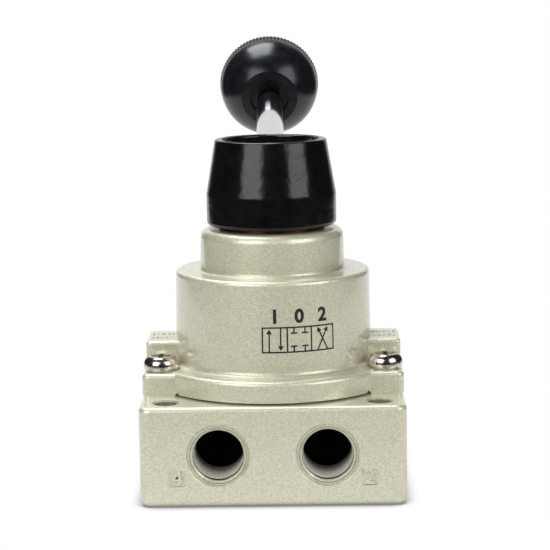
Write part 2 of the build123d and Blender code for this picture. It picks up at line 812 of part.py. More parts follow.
# ==== ball knob: a ball with a flat, a recess and a hole where the rod enters
with BuildPart(rod_plane.offset(knob_reach)) as ball_knob:
    Sphere(knob_radius)
    split(bisect_by=rod_plane.offset(knob_reach - knob_flat), keep=Keep.TOP)
    with BuildSketch(rod_plane.offset(knob_reach - knob_flat)):
        Circle(knob_recess_radius)
    extrude(amount=knob_recess_depth, mode=Mode.SUBTRACT)
    with BuildSketch(rod_plane.offset(knob_floor)):
        Circle(rod_radius + rod_hole_gap)
    extrude(amount=knob_cover, mode=Mode.SUBTRACT)
    with BuildSketch(rod_plane.offset(insert_face)):
        Circle(knob_recess_radius)
    extrude(amount=insert_length, mode=Mode.SUBTRACT)
finish(ball_knob, "ball_knob")

# ==== knob insert: the tapped brass core that the ball is moulded on
with BuildPart() as knob_insert:
    with BuildSketch(rod_plane.offset(insert_face)):
        Circle(knob_recess_radius)
    extrude(amount=insert_length)
    with BuildSketch(rod_plane.offset(insert_face)):
        Circle(rod_thread / 2)
    extrude(amount=rod_tip, mode=Mode.SUBTRACT)
finish(knob_insert, "knob_insert")
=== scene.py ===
# %% [markdown]
# # A hand lever air valve, dressed for a studio picture
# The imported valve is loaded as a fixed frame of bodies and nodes. Every later cell adds a finish or a
# small piece on top of it, and takes its places from the frame, so nothing has to be fitted by eye.

# %% Load the frame
import json
import math

import bmesh
import bpy
from mathutils import Matrix, Vector
from mathutils.bvhtree import BVHTree


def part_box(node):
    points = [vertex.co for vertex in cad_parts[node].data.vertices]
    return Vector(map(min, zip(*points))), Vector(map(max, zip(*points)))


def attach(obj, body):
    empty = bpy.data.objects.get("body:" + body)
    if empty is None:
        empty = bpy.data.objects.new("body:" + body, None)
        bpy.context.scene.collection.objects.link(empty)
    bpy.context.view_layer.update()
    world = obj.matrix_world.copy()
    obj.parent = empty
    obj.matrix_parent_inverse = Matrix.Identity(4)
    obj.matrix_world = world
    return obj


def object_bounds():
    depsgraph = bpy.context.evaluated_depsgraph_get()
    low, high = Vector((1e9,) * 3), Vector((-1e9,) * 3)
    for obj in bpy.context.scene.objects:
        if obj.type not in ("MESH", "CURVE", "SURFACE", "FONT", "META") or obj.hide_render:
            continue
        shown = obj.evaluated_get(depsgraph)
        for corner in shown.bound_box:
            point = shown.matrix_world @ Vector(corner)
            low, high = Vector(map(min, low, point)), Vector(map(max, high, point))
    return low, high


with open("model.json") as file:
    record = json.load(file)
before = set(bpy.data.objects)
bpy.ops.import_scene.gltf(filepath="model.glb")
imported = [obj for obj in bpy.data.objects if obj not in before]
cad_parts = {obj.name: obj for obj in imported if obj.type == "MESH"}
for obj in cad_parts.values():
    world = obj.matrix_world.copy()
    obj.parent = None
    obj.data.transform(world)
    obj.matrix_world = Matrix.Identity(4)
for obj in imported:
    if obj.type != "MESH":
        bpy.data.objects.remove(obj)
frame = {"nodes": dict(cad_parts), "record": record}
cad_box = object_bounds()

# %% [markdown]
# ## Camera
# A long lens a little to the right of the valve and slightly above it keeps the upright edges nearly
# parallel. The three turns are heading, tilt and a very small roll, applied in that order.

# %% Camera
MM = 0.001
CAMERA_PLACE = Vector((7.92, -443.3, 117.6)) * MM
CAMERA_HEADING = math.radians(0.95)
CAMERA_TILT = math.radians(8.94)
CAMERA_ROLL = math.radians(-0.91)
CAMERA_LENS = 124.7
SENSOR_WIDTH = 36.0

scene = bpy.context.scene
camera_data = bpy.data.cameras.new("studio_camera")
camera_data.lens = CAMERA_LENS
camera_data.sensor_width = SENSOR_WIDTH
camera_data.clip_start = 0.01
camera = bpy.data.objects.new("studio_camera", camera_data)
scene.collection.objects.link(camera)
camera.matrix_world = (
    Matrix.Translation(CAMERA_PLACE)
    @ Matrix.Rotation(CAMERA_HEADING, 4, "Z")
    @ Matrix.Rotation(math.pi / 2 - CAMERA_TILT, 4, "X")
    @ Matrix.Rotation(CAMERA_ROLL, 4, "Z")
)
scene.camera = camera
scene.view_settings.view_transform = "Standard"
print("camera at", tuple(round(v, 3) for v in camera.location))

# %% [markdown]
# ## Node helpers
# Materials are built from nodes. These helpers add a node, set its sockets and join it to others, so
# that each material below reads as a short recipe.


# %% Node helpers
def add_node(tree, kind, **settings):
    """Add a node; settings are node properties by name."""
    node = tree.nodes.new(kind)
    for name, value in settings.items():
        setattr(node, name, value)
    return node


def set_inputs(node, **values):
    """Set input sockets by their label, written with underscores for spaces."""
    for name, value in values.items():
        node.inputs[name.replace("_", " ")].default_value = value


def join(tree, *pairs):
    """Link each (output, input) pair."""
    for output, socket in pairs:
        tree.links.new(output, socket)


def new_material(name):
    """A material with only a Principled shader and its output; returns both with the tree."""
    material = bpy.data.materials.new(name)
    material.use_nodes = True
    tree = material.node_tree
    tree.nodes.clear()
    shader = add_node(tree, "ShaderNodeBsdfPrincipled")
    output = add_node(tree, "ShaderNodeOutputMaterial")
    join(tree, (shader.outputs["BSDF"], output.inputs["Surface"]))
    return material, tree, shader


def object_coordinates(tree):
    """The place on the piece, in metres from the object's own origin."""
    return add_node(tree, "ShaderNodeTexCoord").outputs["Object"]


# %% [markdown]
# ## Shared effect
# Fine grain turns up in most finishes here, so it is one node group with named inputs. The group gives
# out only values that vary over the surface; the shader stays in the material.


# %% Shared effect: fine grain
def build_grain_group():
    """Fine noise around a middle value, for colour and roughness, and its height for a bump."""
    group = bpy.data.node_groups.new("fine_grain", "ShaderNodeTree")
    face = group.interface
    face.new_socket(name="Vector", in_out="INPUT", socket_type="NodeSocketVector")
    for name in ("Scale", "Low", "High"):
        face.new_socket(name=name, in_out="INPUT", socket_type="NodeSocketFloat")
    for name in ("Value", "Height"):
        face.new_socket(name=name, in_out="OUTPUT", socket_type="NodeSocketFloat")
    inside = add_node(group, "NodeGroupInput")
    outside = add_node(group, "NodeGroupOutput")
    noise = add_node(group, "ShaderNodeTexNoise")
    set_inputs(noise, Detail=4.0, Roughness=0.6)
    spread = add_node(group, "ShaderNodeMapRange")
    set_inputs(spread, From_Min=0.3, From_Max=0.7)
    join(
        group,
        (inside.outputs["Vector"], noise.inputs["Vector"]),
        (inside.outputs["Scale"], noise.inputs["Scale"]),
        (noise.outputs["Fac"], spread.inputs["Value"]),
        (inside.outputs["Low"], spread.inputs["To Min"]),
        (inside.outputs["High"], spread.inputs["To Max"]),
        (spread.outputs["Result"], outside.inputs["Value"]),
        (noise.outputs["Fac"], outside.inputs["Height"]),
    )
    return group


GRAIN = build_grain_group()


def grain(tree, scale, low, high):
    """Place the grain group in a material; returns its value and height outputs."""
    node = add_node(tree, "ShaderNodeGroup", node_tree=GRAIN)
    set_inputs(node, Scale=scale, Low=low, High=high)
    join(tree, (object_coordinates(tree), node.inputs["Vector"]))
    return node.outputs["Value"], node.outputs["Height"]


def bump_from(tree, shader, height, strength, distance):
    """Feed a height into the shader's normal, on top of a height that is there already."""
    bump = add_node(tree, "ShaderNodeBump")
    set_inputs(bump, Strength=strength, Distance=distance)
    if shader.inputs["Normal"].is_linked:
        join(tree, (shader.inputs["Normal"].links[0].from_socket, bump.inputs["Normal"]))
    join(tree, (height, bump.inputs["Height"]), (bump.outputs["Normal"], shader.inputs["Normal"]))


def tint_between(tree, factor, low_colour, high_colour):
    """Blend two colours by a value that varies over the surface."""
    mix = add_node(tree, "ShaderNodeMix", data_type="RGBA")
    mix.inputs["A"].default_value = (*low_colour, 1.0)
    mix.inputs["B"].default_value = (*high_colour, 1.0)
    join(tree, (factor, mix.inputs["Factor"]))
    return mix.outputs["Result"]


print("node group:", GRAIN.name)

# %% [markdown]
# ## Champagne metallic paint
# The castings are sprayed with a pale gold paint full of tiny aluminium flakes. Small cells of slightly
# different brightness and tilt make the flakes sparkle; a clear coat gives the soft mirror that shows
# the lugs in the cylinder.
#
# The body has details that follow its holes. Inside the ports the paint stops and cut metal shows, and
# past the tapped length the bore is painted nearly black, as painted shade. Round each mouth, and round
# each mounting hole, fine grooves mark the edge of the spot face, and dark rings in the colour there are
# painted shade in the creases; inside each mounting hole the colour is darkened too, as painted shade.
# All of them come from one value: the distance from the hole's axis.


# %% Sizes of the holes
PORT_MOUNTS = [m for m in frame["record"]["mounts"] if m["kind"] == "threaded_hole"]
PORT_RADIUS = PORT_MOUNTS[0]["dims"]["r_mm"] * MM
BODY_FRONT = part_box("valve_body")[1][1]
THREAD_LENGTH = 12.5 * MM
THREAD_END = BODY_FRONT - THREAD_LENGTH + 0.05 * MM
BOLTS = next(m["dims"] for m in frame["record"]["mounts"] if m["name"] == "base_bolts")
BOLT_PLACE = (BOLTS["spacing_x_mm"] / 2 * MM, BOLTS["spacing_y_mm"] / 2 * MM)
BOLT_RADIUS = BOLTS["hole_r_mm"] * MM
print("port radius", round(PORT_RADIUS, 5), "bolt radius", round(BOLT_RADIUS, 5))


# %% Masks that follow the holes
# A ring is (radius, half width, lowest level).
# The port and bolt rings darken the paint colour: painted shade in the creases at each port mouth and bolt
# hole edge, and over the inside of each bolt hole. The grooves only feed the bump.
PORT_SHADE_RINGS = [(5.76 * MM, 0.08 * MM, 0.7), (6.3 * MM, 0.14 * MM, 0.7), (6.9 * MM, 0.12 * MM, 0.85)]
PORT_GROOVES = [(6.3 * MM, 0.3 * MM, 0.0), (6.95 * MM, 0.3 * MM, 0.35)]
BOLT_SHADE_RINGS = [(BOLT_RADIUS, 0.14 * MM, 0.45), (0.0, BOLT_RADIUS, 0.7)]
BOLT_GROOVES = [(BOLT_RADIUS, 0.5 * MM, 0.0)]


def axis_distance(tree, axes, place):
    """Distance from the lines that stand at place in every quarter, by folding both coordinates."""
    split = add_node(tree, "ShaderNodeSeparateXYZ")
    flat = add_node(tree, "ShaderNodeCombineXYZ")
    length = add_node(tree, "ShaderNodeVectorMath", operation="LENGTH")
    join(
        tree,
        (object_coordinates(tree), split.inputs["Vector"]),
        (flat.outputs["Vector"], length.inputs[0]),
    )
    for axis, centre, socket in zip(axes, place, "XY"):
        fold = add_node(tree, "ShaderNodeMath", operation="ABSOLUTE")
        shift = add_node(tree, "ShaderNodeMath", operation="SUBTRACT")
        shift.inputs[1].default_value = centre
        join(
            tree,
            (split.outputs[axis], fold.inputs[0]),
            (fold.outputs[0], shift.inputs[0]),
            (shift.outputs[0], flat.inputs[socket]),
        )
    return length.outputs["Value"]


def port_distance(tree):
    """Distance from the nearest port axis."""
    x, _, z = PORT_MOUNTS[0]["pos_m"]
    return axis_distance(tree, "XZ", (abs(x), z))


def multiply(tree, first, second):
    """The product of two values."""
    product = add_node(tree, "ShaderNodeMath", operation="MULTIPLY")
    join(tree, (first, product.inputs[0]), (second, product.inputs[1]))
    return product.outputs[0]


def ring_lines(tree, distance, rings):
    """1 in general, falling to each ring's lowest level at its radius."""
    total = None
    for radius, half_width, lowest in rings:
        offset = add_node(tree, "ShaderNodeMath", operation="SUBTRACT")
        offset.inputs[1].default_value = radius
        size = add_node(tree, "ShaderNodeMath", operation="ABSOLUTE")
        fade = add_node(tree, "ShaderNodeMapRange", interpolation_type="SMOOTHSTEP")
        set_inputs(fade, From_Max=half_width, To_Min=lowest, To_Max=1.0)
        join(
            tree,
            (distance, offset.inputs[0]),
            (offset.outputs[0], size.inputs[0]),
            (size.outputs[0], fade.inputs["Value"]),
        )
        result = fade.outputs["Result"]
        total = result if total is None else multiply(tree, total, result)
    return total


def depth_from_middle(tree):
    """The distance from the body's middle plane, along the ports."""
    split = add_node(tree, "ShaderNodeSeparateXYZ")
    fold = add_node(tree, "ShaderNodeMath", operation="ABSOLUTE")
    join(
        tree,
        (object_coordinates(tree), split.inputs["Vector"]),
        (split.outputs["Y"], fold.inputs[0]),
    )
    return fold.outputs[0]


def below_limit(tree, value, limit):
    """1 where a value lies under a limit, and 0 elsewhere."""
    test = add_node(tree, "ShaderNodeMath", operation="LESS_THAN")
    test.inputs[1].default_value = limit
    join(tree, (value, test.inputs[0]))
    return test.outputs[0]


def port_deep_shade_mask(tree):
    """1 beyond the tapped length of a port, towards the middle of the body, where the bore is painted dark
    as painted shade, and 0 before it.
    """
    far = below_limit(tree, depth_from_middle(tree), THREAD_END)
    near = below_limit(tree, port_distance(tree), PORT_RADIUS + 0.2 * MM)
    return multiply(tree, far, near)


# %% Paint for the castings
PAINT_DEEP = (0.57, 0.555, 0.40)
PAINT_PALE = (0.81, 0.795, 0.625)
PAINT_METALLIC = 0.5
FLAKE_SCALE = 5200.0
BARE_METAL = (0.58, 0.57, 0.54)
BARE_SHADOW = tuple(0.4 * c for c in BARE_METAL)
# Nearly black colour for the bore past the thread: painted shade deep in the port.
BORE_SHADE_COLOUR = (0.004, 0.004, 0.003, 1.0)


def paint_material(name):
    """Metallic flake paint under a clear coat; returns the material and its colour output too."""
    material, tree, shader = new_material(name)
    flakes = add_node(tree, "ShaderNodeTexVoronoi")
    set_inputs(flakes, Scale=FLAKE_SCALE)
    flake_value = add_node(tree, "ShaderNodeSeparateColor")
    cloud, _ = grain(tree, 900.0, -0.05, 0.05)
    blend = add_node(tree, "ShaderNodeMath", operation="ADD", use_clamp=True)
    colour = tint_between(tree, blend.outputs[0], PAINT_DEEP, PAINT_PALE)
    peel = add_node(tree, "ShaderNodeTexNoise")
    set_inputs(peel, Scale=700.0, Detail=2.0)
    height = add_node(tree, "ShaderNodeMath", operation="MULTIPLY_ADD")
    height.inputs[1].default_value = 0.25
    join(
        tree,
        (object_coordinates(tree), flakes.inputs["Vector"]),
        (flakes.outputs["Color"], flake_value.inputs["Color"]),
        (flake_value.outputs["Red"], blend.inputs[0]),
        (cloud, blend.inputs[1]),
        (object_coordinates(tree), peel.inputs["Vector"]),
        (flake_value.outputs["Green"], height.inputs[0]),
        (peel.outputs["Fac"], height.inputs[2]),
        (colour, shader.inputs["Base Color"]),
    )
    bump_from(tree, shader, height.outputs[0], 0.35, 0.02 * MM)
    set_inputs(shader, Metallic=PAINT_METALLIC, Roughness=0.4, Coat_Weight=1.0, Coat_Roughness=0.07)
    return material, tree, shader, colour


def add_hole_details(tree, shader, paint_colour):
    """Bare metal in the ports, painted shade in the bore past it, and grooves and painted shade rings
    round the holes.
    """
    in_bore = add_node(tree, "ShaderNodeMapRange", interpolation_type="SMOOTHSTEP")
    set_inputs(in_bore, From_Min=PORT_RADIUS + 0.04 * MM, From_Max=PORT_RADIUS + 0.12 * MM)
    set_inputs(in_bore, To_Min=1.0, To_Max=0.0)
    bored = in_bore.outputs["Result"]
    smear, _ = grain(tree, 1800.0, 0.55, 1.15)
    bare = tint_between(tree, smear, BARE_SHADOW, BARE_METAL)
    mix = add_node(tree, "ShaderNodeMix", data_type="RGBA")
    metal = add_node(tree, "ShaderNodeMapRange")
    set_inputs(metal, To_Min=PAINT_METALLIC, To_Max=1.0)
    lacquer = add_node(tree, "ShaderNodeMapRange")
    set_inputs(lacquer, To_Min=1.0, To_Max=0.0)
    join(
        tree,
        (port_distance(tree), in_bore.inputs["Value"]),
        (bored, mix.inputs["Factor"]),
        (paint_colour, mix.inputs["A"]),
        (bare, mix.inputs["B"]),
        (bored, metal.inputs["Value"]),
        (metal.outputs["Result"], shader.inputs["Metallic"]),
        (bored, lacquer.inputs["Value"]),
        (lacquer.outputs["Result"], shader.inputs["Coat Weight"]),
    )
    ports = port_distance(tree)
    bolts = axis_distance(tree, "XY", BOLT_PLACE)
    bump_from(tree, shader, ring_lines(tree, ports, PORT_GROOVES), 1.0, 0.3 * MM)
    bump_from(tree, shader, ring_lines(tree, bolts, BOLT_GROOVES), 1.0, 0.4 * MM)
    # The dark rings in the colour are painted shade in the creases and inside the bolt holes.
    port_shade_lines = ring_lines(tree, ports, PORT_SHADE_RINGS)
    lines = multiply(tree, port_shade_lines, ring_lines(tree, bolts, BOLT_SHADE_RINGS))
    ring_shaded_colour = add_node(tree, "ShaderNodeMix", data_type="RGBA", blend_type="MULTIPLY")
    set_inputs(ring_shaded_colour, Factor=1.0)
    # Past the tapped length the bore's colour goes nearly black: painted shade deep in the port.
    bore_shade_mix = add_node(tree, "ShaderNodeMix", data_type="RGBA")
    set_inputs(bore_shade_mix, B=BORE_SHADE_COLOUR)
    join(
        tree,
        (mix.outputs["Result"], ring_shaded_colour.inputs["A"]),
        (lines, ring_shaded_colour.inputs["B"]),
        (port_deep_shade_mask(tree), bore_shade_mix.inputs["Factor"]),
        (ring_shaded_colour.outputs["Result"], bore_shade_mix.inputs["A"]),
        (bore_shade_mix.outputs["Result"], shader.inputs["Base Color"]),
    )


body_paint, body_tree, body_shader, body_colour = paint_material("body_paint")
add_hole_details(body_tree, body_shader, body_colour)
bonnet_paint = paint_material("bonnet_paint")[0]
print("paint:", body_paint.name, bonnet_paint.name)

# %% [markdown]
# ## Metals, plastics and rubber
# The other finishes differ mostly in colour, roughness and how much they are metal, so one recipe makes
# them all: a tint that drifts a little with the grain, a roughness that drifts with it, and a faint bump.


# %% Plain finishes
def plain_finish(
    name, low, high, metallic, rough, grain_scale=1500.0, bump=0.1, relief=0.02 * MM
):
    """A finish whose colour and roughness drift with fine grain; rough is (low, high)."""
    material, tree, shader = new_material(name)
    value, height = grain(tree, grain_scale, 0.0, 1.0)
    roughness = add_node(tree, "ShaderNodeMapRange")
    set_inputs(roughness, To_Min=rough[0], To_Max=rough[1])
    join(
        tree,
        (tint_between(tree, value, low, high), shader.inputs["Base Color"]),
        (value, roughness.inputs["Value"]),
        (roughness.outputs["Result"], shader.inputs["Roughness"]),
    )
    bump_from(tree, shader, height, bump, relief)
    set_inputs(shader, Metallic=metallic)
    return material


nickel = plain_finish("bright_nickel", (0.58, 0.53, 0.50), (0.78, 0.74, 0.71), 1.0, (0.12, 0.26), bump=0.5)
chrome = plain_finish("rod_chrome", (0.80, 0.79, 0.77), (0.88, 0.87, 0.85), 1.0, (0.05, 0.10), bump=0.03)
steel = plain_finish("ground_steel", (0.50, 0.50, 0.51), (0.62, 0.62, 0.63), 1.0, (0.2, 0.35))
spring_wire = plain_finish("spring_wire", (0.36, 0.36, 0.38), (0.46, 0.46, 0.48), 1.0, (0.25, 0.4))
black_oxide = plain_finish("black_oxide", (0.03, 0.03, 0.033), (0.06, 0.06, 0.065), 0.8, (0.3, 0.45))
lapped_metal = plain_finish("lapped_metal", (0.60, 0.60, 0.62), (0.72, 0.72, 0.74), 1.0, (0.15, 0.25))
# Bronze darkened almost to black: painted shade for the gap under the hub where the washer shows; the bush
# and the carrier share it.
shade_dark_bronze = plain_finish("bronze_painted_shade", (0.02, 0.010, 0.003), (0.16, 0.08, 0.025), 1.0, (0.35, 0.5), 700.0)
brass = plain_finish("turned_brass", (0.55, 0.38, 0.13), (0.72, 0.53, 0.22), 1.0, (0.2, 0.35))
rubber = plain_finish("seal_rubber", (0.012, 0.012, 0.012), (0.03, 0.03, 0.03), 0.0, (0.5, 0.7))
white_plastic = plain_finish("bearing_plastic", (0.75, 0.74, 0.70), (0.86, 0.85, 0.81), 0.0, (0.35, 0.5))
hub_enamel = plain_finish(
    "hub_enamel", (0.002, 0.002, 0.002), (0.005, 0.005, 0.005), 0.0, (0.14, 0.2),
    grain_scale=330.0, bump=1.0, relief=0.10 * MM,
)
knob_polish = plain_finish(
    "knob_polish", (0.004, 0.0045, 0.006), (0.009, 0.010, 0.012), 0.0, (0.2, 0.27),
    grain_scale=500.0, bump=0.2,
)
knurl = plain_finish("knurled_phenolic", (0.004, 0.004, 0.004), (0.02, 0.019, 0.018), 0.0, (0.45, 0.6))
print("finishes:", len(bpy.data.materials))

# %% [markdown]
# ## Dressing the frame's nodes
# Each node that came with the frame keeps its shape and gets a finish in its own material slots.

# %% Dress the nodes
FINISH_OF_NODE = {
    "valve_body": body_paint,
    "bonnet": bonnet_paint,
    "bonnet_screws": nickel,
    "cover_seal": rubber,
    "seat_plate": lapped_metal,
    "seat_seals": rubber,
    "seat_dowels": steel,
    "rotor_disc": lapped_metal,
    "disc_spring": spring_wire,
    "shaft": steel,
    "detent_carrier": shade_dark_bronze,
    "carrier_pin": steel,
    "detent_ring": steel,
    "detent_ring_pins": steel,
    "stop_pin": steel,
    "detent_ball_right": steel,
    "detent_ball_left": steel,
    "detent_spring_right": spring_wire,
    "detent_spring_left": spring_wire,
    "thrust_ring": white_plastic,
    "shaft_bush": shade_dark_bronze,
    "shaft_seal": rubber,
    "hub_washer": shade_dark_bronze,
    "lever_hub": hub_enamel,
    "hub_set_screw": black_oxide,
    "lever_rod": chrome,
    "ball_knob": knob_polish,
    "knob_insert": brass,
}
for node, finish in FINISH_OF_NODE.items():
    solid = frame["nodes"][node]
    solid.data.materials.clear()
    solid.data.materials.append(finish)
bare_nodes = sorted(set(frame["nodes"]) - set(FINISH_OF_NODE))
print("nodes dressed:", len(FINISH_OF_NODE), "left bare:", bare_nodes)

# %% [markdown]
# ## Port threads
# Each port is tapped for a pipe fitting. The frame leaves the bore plain, so a helical ridge lines it.
# One triangular ridge profile is spun round the bore's axis, and every step also moves it along the
# axis, so that after a whole turn it has moved by one pitch and meets itself. The cut metal is bright
# at the mouth and darkens with depth, as painted shade inside the port.


# %% Make a finished piece
def make_piece(name, bm, material, body, sharp_degrees=40):
    """Turn a bmesh into a finished piece that rides on a body."""
    bmesh.ops.remove_doubles(bm, verts=bm.verts, dist=1e-7)
    bmesh.ops.recalc_face_normals(bm, faces=bm.faces)
    for face in bm.faces:
        face.smooth = True
    mesh = bpy.data.meshes.new(name)
    bm.to_mesh(mesh)
    bm.free()
    mesh.set_sharp_from_angle(angle=math.radians(sharp_degrees))
    mesh.materials.append(material)
    piece = bpy.data.objects.new(name, mesh)
    scene.collection.objects.link(piece)
    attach(piece, body)
    print(name, "faces:", len(mesh.polygons))


# %% Cut metal
def shade_with_depth(material):
    """Darken a finish towards the inner end of the ports, as painted shade deep in the bore."""
    tree = material.node_tree
    shader = next(n for n in tree.nodes if n.bl_idname == "ShaderNodeBsdfPrincipled")
    colour = shader.inputs["Base Color"].links[0].from_socket
    fade = add_node(tree, "ShaderNodeMapRange", interpolation_type="SMOOTHSTEP")
    set_inputs(fade, From_Min=THREAD_END, From_Max=THREAD_END + 0.75 * THREAD_LENGTH, To_Min=0.12)
    product = add_node(tree, "ShaderNodeMix", data_type="RGBA", blend_type="MULTIPLY")
    set_inputs(product, Factor=1.0)
    join(
        tree,
        (depth_from_middle(tree), fade.inputs["Value"]),
        (colour, product.inputs["A"]),
        (fade.outputs["Result"], product.inputs["B"]),
        (product.outputs["Result"], shader.inputs["Base Color"]),
    )


cut_metal = plain_finish(
    "cut_metal", (0.60, 0.58, 0.49), (0.98, 0.96, 0.86), 0.15, (0.3, 0.45),
    grain_scale=2600.0, bump=1.0, relief=0.08 * MM,
)
# The thread's cut metal darkens towards the inner end: painted shade.
shade_with_depth(cut_metal)
print("thread finish:", cut_metal.name)

# %% Port threads
THREAD_PITCH = 1.337 * MM
THREAD_HEIGHT = 0.14 * MM
THREAD_SINK = 0.02 * MM
STEPS_PER_TURN = 48
TURNS = 8
THREAD_START = BODY_FRONT - 1.1 * MM
# The ridge as (height above the bore, share of a pitch).
RIDGE = ((-THREAD_SINK, 0), (THREAD_HEIGHT, 0.45), (THREAD_HEIGHT, 0.55), (-THREAD_SINK, 1))
for mount in PORT_MOUNTS:
    facing = mount["axis"][1]
    bm = bmesh.new()
    profile = []
    for inward, along in RIDGE:
        profile.append(bm.verts.new((PORT_RADIUS - inward, 0, -along * THREAD_PITCH)))
    edges = [bm.edges.new(pair) for pair in zip(profile, profile[1:])]
    bmesh.ops.spin(
        bm,
        geom=profile + edges,
        cent=(0, 0, 0),
        axis=(0, 0, 1),
        dvec=(0, 0, -THREAD_PITCH / STEPS_PER_TURN),
        angle=2 * math.pi * TURNS,
        steps=STEPS_PER_TURN * TURNS,
        use_merge=False,
        use_duplicate=False,
    )
    turn = Matrix.Rotation(-facing * math.pi / 2, 3, "X")
    bmesh.ops.rotate(bm, cent=(0, 0, 0), matrix=turn, verts=bm.verts)
    place = (mount["pos_m"][0], facing * THREAD_START, mount["pos_m"][2])
    bmesh.ops.translate(bm, vec=place, verts=bm.verts)
    make_piece("thread_" + mount["name"], bm, cut_metal, "body")

# %% [markdown]
# ## Port numbers
# A square tile is sunk beside each port, and the casting's number stands up inside it. The numbers are
# text curves with a small depth and a soft edge, turned to mesh so that they can be placed exactly.


# %% Port numbers
def text_mesh(text, size, depth=0.0, edge=0.0, heavier=0.0):
    """Text as a bmesh in the XY plane, centred on the origin; edge is its soft rim's radius."""
    curve = bpy.data.curves.new("lettering", "FONT")
    curve.body = text
    curve.size = size
    curve.align_x = "CENTER"
    curve.align_y = "CENTER"
    curve.extrude = depth / 2
    curve.bevel_depth = edge
    curve.offset = heavier
    curve.resolution_u = 4
    holder = bpy.data.objects.new("lettering", curve)
    scene.collection.objects.link(holder)
    graph = bpy.context.evaluated_depsgraph_get()
    mesh = bpy.data.meshes.new_from_object(holder.evaluated_get(graph))
    bm = bmesh.new()
    bm.from_mesh(mesh)
    bpy.data.meshes.remove(mesh)
    bpy.data.objects.remove(holder)
    bpy.data.curves.remove(curve)
    return bm


TILE_X = 21.55 * MM
TILE_Z = 6.6 * MM
TILE_DEPTH = 0.35 * MM
NUMBER_SIZE = 4.8 * MM
NUMBER_MIDDLE = BODY_FRONT - TILE_DEPTH + 0.24 * MM
UPRIGHT = Matrix.Rotation(math.pi / 2, 3, "X")
FACE_BACK = Matrix.Rotation(math.pi, 3, "Z")
for mount in PORT_MOUNTS:
    facing = mount["axis"][1]
    side = 1 if mount["pos_m"][0] > 0 else -1
    bm = text_mesh(mount["name"][-1], NUMBER_SIZE, 0.3 * MM, 0.12 * MM, 0.02 * MM)
    bmesh.ops.rotate(bm, cent=(0, 0, 0), matrix=UPRIGHT, verts=bm.verts)
    if facing > 0:
        bmesh.ops.rotate(bm, cent=(0, 0, 0), matrix=FACE_BACK, verts=bm.verts)
    place = (side * TILE_X, facing * NUMBER_MIDDLE, TILE_Z)
    bmesh.ops.translate(bm, vec=place, verts=bm.verts)
    make_piece("number_" + mount["name"], bm, bonnet_paint, "body", 30)

# %% [markdown]
# ## Printed flow symbol
# A black print on the front of the bonnet says what each lever position does. It is a plain symbol:
# three squares, one for each position, with arrows for the paths that the air takes, and the position
# numbers above them. It is drawn flat from thin bars, cut into narrow strips, and then every corner is
# moved onto the round bonnet along its own radius, which is found with a ray.

# %% Flat bars and arrowheads
LINE = 0.34 * MM
ARROW_RADIUS = 0.75 * MM


def add_bar(bm, start, end, width=LINE):
    """A thin flat bar from start to end in the XY plane."""
    a, b = Vector((*start, 0)), Vector((*end, 0))
    run = b - a
    new = bmesh.ops.create_grid(bm, x_segments=1, y_segments=1, size=0.5)["verts"]
    bmesh.ops.scale(bm, vec=(run.length + width, width, 1), verts=new)
    turn = Matrix.Rotation(math.atan2(run.y, run.x), 3, "Z")
    bmesh.ops.rotate(bm, cent=(0, 0, 0), matrix=turn, verts=new)
    bmesh.ops.translate(bm, vec=(a + b) / 2, verts=new)


def add_arrow(bm, start, end):
    """A bar with a small solid head at its end."""
    a, b = Vector((*start, 0)), Vector((*end, 0))
    run = (b - a).normalized()
    add_bar(bm, start, (b - run * MM).to_2d())
    new = bmesh.ops.create_circle(bm, cap_ends=True, segments=3, radius=ARROW_RADIUS)["verts"]
    turn = Matrix.Rotation(math.atan2(run.y, run.x) - math.pi / 2, 3, "Z")
    bmesh.ops.rotate(bm, cent=(0, 0, 0), matrix=turn, verts=new)
    bmesh.ops.translate(bm, vec=b - run * ARROW_RADIUS, verts=new)


# %% Draw the symbol
BOX = 5.6 * MM
PRINT_CENTRE = 6.3 * MM
PRINT_FOOT = 33.8 * MM
ARROW_GAP = 0.3 * MM
STEM = 1.3 * MM
HALF_BAR = 0.6 * MM
DIGIT_SIZE = 4.3 * MM
DIGIT_RISE = 2.4 * MM
foot, head = PRINT_FOOT, PRINT_FOOT + BOX
bm = bmesh.new()
for index, number in enumerate("102"):
    left = PRINT_CENTRE + (index - 1.5) * BOX
    right = left + BOX
    first, second = left + 0.27 * BOX, left + 0.73 * BOX
    add_bar(bm, (left, foot), (right, foot))
    add_bar(bm, (left, head), (right, head))
    add_bar(bm, (left, foot), (left, head))
    add_bar(bm, (right, foot), (right, head))
    if index == 0:
        add_arrow(bm, (first, foot), (first, head - ARROW_GAP))
        add_arrow(bm, (second, head), (second, foot + ARROW_GAP))
    elif index == 2:
        add_arrow(bm, (first, foot), (second, head - ARROW_GAP))
        add_arrow(bm, (second, foot), (first, head - ARROW_GAP))
    else:
        for x in (first, second):
            for level, end in ((foot, foot + STEM), (head, head - STEM)):
                add_bar(bm, (x, level), (x, end))
                add_bar(bm, (x - HALF_BAR, end), (x + HALF_BAR, end))
    digit = text_mesh(number, DIGIT_SIZE, heavier=0.16 * MM)
    bmesh.ops.translate(digit, vec=(left + BOX / 2, head + DIGIT_RISE, 0), verts=digit.verts)
    holder = bpy.data.meshes.new("digit")
    digit.to_mesh(holder)
    digit.free()
    bm.from_mesh(holder)
    bpy.data.meshes.remove(holder)

